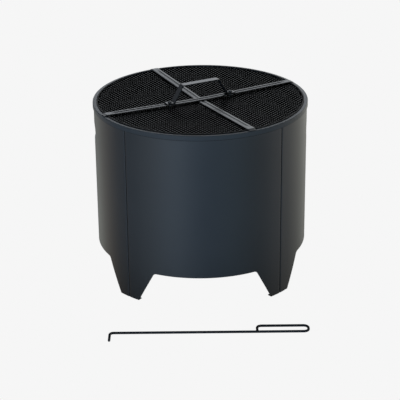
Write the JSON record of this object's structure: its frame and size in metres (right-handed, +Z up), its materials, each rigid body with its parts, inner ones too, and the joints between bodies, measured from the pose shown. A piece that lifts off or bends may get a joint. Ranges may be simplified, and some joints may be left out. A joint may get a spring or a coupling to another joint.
{
  "type": "fire pit",
  "caption": "Round steel fire pit on four legs cut from its wall, with an inner drum, grate, ash pan, mesh lid with crossing ribs and strap handle, and a poker beside it",
  "frame": {"origin": "middle of the footprint of pit and poker together, on the floor", "axes": "+Z up, +X to the right of the front, -Y towards the front, where the poker lies"},
  "size_m": [0.61, 0.7801, 0.566],
  "materials": {
    "slate_coat": "satin dark slate blue powder coat",
    "rib_coat": "satin slate powder coat on the ribs, lighter than the wall",
    "black_coat": "matte black heat-proof coat",
    "strap_coat": "satin grey powder coat on the strap handle",
    "zinc_steel": "dull zinc plating on bolts and nuts",
    "grate_iron": "rough blackened iron",
    "rod_coat": "satin dark slate coat on round rod"
  },
  "bodies": {
    "pit": {"front_panel": "slate_coat", "right_panel": "slate_coat", "rear_panel": "slate_coat", "left_panel": "slate_coat", "rim_ring": "slate_coat", "fire_drum": "black_coat", "drum_floor": "black_coat", "seam_bolt_front_right_low": "zinc_steel", "seam_bolt_front_right_middle": "zinc_steel", "seam_bolt_front_right_high": "zinc_steel", "seam_bolt_rear_right_low": "zinc_steel", "seam_bolt_rear_right_middle": "zinc_steel", "seam_bolt_rear_right_high": "zinc_steel", "seam_bolt_rear_left_low": "zinc_steel", "seam_bolt_rear_left_middle": "zinc_steel", "seam_bolt_rear_left_high": "zinc_steel", "seam_bolt_front_left_low": "zinc_steel", "seam_bolt_front_left_middle": "zinc_steel", "seam_bolt_front_left_high": "zinc_steel", "seam_nut_front_right_low": "zinc_steel", "seam_nut_front_right_middle": "zinc_steel", "seam_nut_front_right_high": "zinc_steel", "seam_nut_rear_right_low": "zinc_steel", "seam_nut_rear_right_middle": "zinc_steel", "seam_nut_rear_right_high": "zinc_steel", "seam_nut_rear_left_low": "zinc_steel", "seam_nut_rear_left_middle": "zinc_steel", "seam_nut_rear_left_high": "zinc_steel", "seam_nut_front_left_low": "zinc_steel", "seam_nut_front_left_middle": "zinc_steel", "seam_nut_front_left_high": "zinc_steel"},
    "ash_pan": {"ash_pan": "black_coat"},
    "grate": {"fire_grate": "grate_iron"},
    "lid": {"lid_ring": "black_coat", "spark_mesh": "black_coat", "lower_rib": "rib_coat", "upper_rib": "rib_coat", "lid_handle": "strap_coat", "handle_bolt_left": "strap_coat", "handle_bolt_right": "strap_coat", "handle_nut_left": "zinc_steel", "handle_nut_right": "zinc_steel"},
    "poker": {"poker": "rod_coat"}
  },
  "joints": [
    {"name": "lid_lift", "type": "slide", "parent": "pit", "child": "lid", "axis": [0, 0, 1], "range_m": [0, 0.3]},
    {"name": "ash_pan_lift", "type": "slide", "parent": "pit", "child": "ash_pan", "axis": [0, 0, 1], "range_m": [0, 0.1]},
    {"name": "grate_lift", "type": "slide", "parent": "ash_pan", "child": "grate", "axis": [0, 0, 1], "range_m": [0, 0.2]},
    {"name": "poker_lift", "type": "slide", "parent": "pit", "child": "poker", "axis": [0, 0, 1], "range_m": [0, 0.3]}
  ]
}
